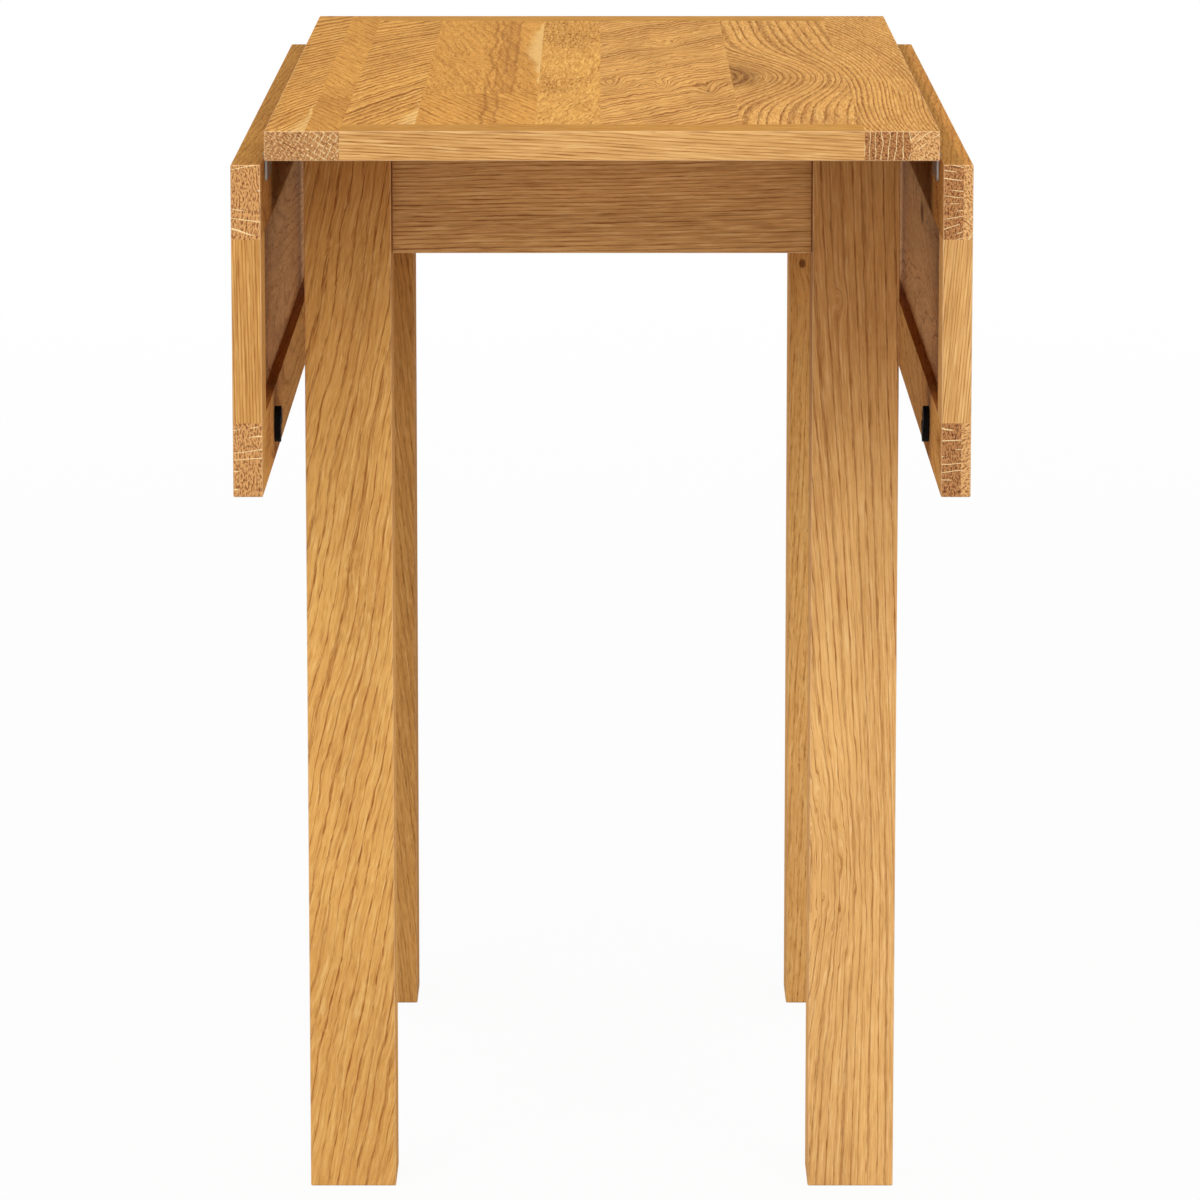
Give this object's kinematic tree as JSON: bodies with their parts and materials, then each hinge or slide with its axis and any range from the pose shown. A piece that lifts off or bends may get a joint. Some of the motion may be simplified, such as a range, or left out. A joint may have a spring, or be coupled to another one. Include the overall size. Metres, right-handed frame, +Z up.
{
  "type": "drop-leaf dining table",
  "caption": "Square-legged oak dining table with a framed fixed top, hinged drop leaves along both long sides and pull-out bars under the top that carry the raised leaves.",
  "frame": {"origin": "on the floor, under the middle of the table", "axes": "+Z up, +Y along the top towards the back, +X across towards the right leaf"},
  "size_m": [0.495, 0.9, 0.76],
  "materials": {
    "oak_top": "clear satin lacquer on oak",
    "oak_leaf": "clear satin lacquer on oak",
    "oak_panel": "clear satin lacquer on glued oak staves",
    "oak_leg": "clear satin lacquer on oak",
    "oak_apron": "clear satin lacquer on oak",
    "oak_bar": "planed oak, thin oil",
    "pine_block": "sawn pine, bare",
    "beech_peg": "bare beech dowel",
    "zinc_steel": "bright zinc plate",
    "black_rubber": "matt black rubber"
  },
  "bodies": {
    "frame": {"top_stile_left": "oak_top", "apron_left": "oak_apron", "top_stile_right": "oak_top", "apron_right": "oak_apron", "top_rail_front": "oak_top", "apron_front": "oak_apron", "top_rail_back": "oak_top", "apron_back": "oak_apron", "top_panel": "oak_panel", "bar_guide_rail": "oak_bar", "leg_front_left": "oak_leg", "corner_block_front_left": "pine_block", "leg_bolt_front_left": "zinc_steel", "hinge_top_plate_left_front": "zinc_steel", "hinge_pin_left_front": "zinc_steel", "leg_back_left": "oak_leg", "corner_block_back_left": "pine_block", "leg_bolt_back_left": "zinc_steel", "hinge_top_plate_left_back": "zinc_steel", "hinge_pin_left_back": "zinc_steel", "leg_front_right": "oak_leg", "corner_block_front_right": "pine_block", "leg_bolt_front_right": "zinc_steel", "hinge_top_plate_right_front": "zinc_steel", "hinge_pin_right_front": "zinc_steel", "leg_back_right": "oak_leg", "corner_block_back_right": "pine_block", "leg_bolt_back_right": "zinc_steel", "hinge_top_plate_right_back": "zinc_steel", "hinge_pin_right_back": "zinc_steel"},
    "left_leaf": {"leaf_left_hinge_stile": "oak_leaf", "leaf_left_free_stile": "oak_leaf", "leaf_left_front_rail": "oak_leaf", "leaf_left_back_rail": "oak_leaf", "leaf_left_panel": "oak_panel", "hinge_leaf_plate_left_front": "zinc_steel", "bumper_left_front": "black_rubber", "hinge_leaf_plate_left_back": "zinc_steel", "bumper_left_back": "black_rubber"},
    "right_leaf": {"leaf_right_hinge_stile": "oak_leaf", "leaf_right_free_stile": "oak_leaf", "leaf_right_front_rail": "oak_leaf", "leaf_right_back_rail": "oak_leaf", "leaf_right_panel": "oak_panel", "hinge_leaf_plate_right_front": "zinc_steel", "bumper_right_front": "black_rubber", "hinge_leaf_plate_right_back": "zinc_steel", "bumper_right_back": "black_rubber"},
    "left_front_support": {"support_bar_left_front": "oak_bar", "stop_peg_left_front": "beech_peg"},
    "left_back_support": {"support_bar_left_back": "oak_bar", "stop_peg_left_back": "beech_peg"},
    "right_front_support": {"support_bar_right_front": "oak_bar", "stop_peg_right_front": "beech_peg"},
    "right_back_support": {"support_bar_right_back": "oak_bar", "stop_peg_right_back": "beech_peg"}
  },
  "joints": [
    {"name": "left_leaf_hinge", "type": "hinge", "parent": "frame", "child": "left_leaf", "pos_m": [-0.2255, 0, 0.738], "axis": [0, 1, 0], "range_deg": [-4.8, 90]},
    {"name": "right_leaf_hinge", "type": "hinge", "parent": "frame", "child": "right_leaf", "pos_m": [0.2255, 0, 0.738], "axis": [0, -1, 0], "range_deg": [-4.8, 90]},
    {"name": "left_front_support_slide", "type": "slide", "parent": "frame", "child": "left_front_support", "axis": [-1, 0, 0], "range_m": [0, 0.022]},
    {"name": "left_back_support_slide", "type": "slide", "parent": "frame", "child": "left_back_support", "axis": [-1, 0, 0], "range_m": [0, 0.022]},
    {"name": "right_front_support_slide", "type": "slide", "parent": "frame", "child": "right_front_support", "axis": [1, 0, 0], "range_m": [0, 0.022]},
    {"name": "right_back_support_slide", "type": "slide", "parent": "frame", "child": "right_back_support", "axis": [1, 0, 0], "range_m": [0, 0.022]}
  ]
}
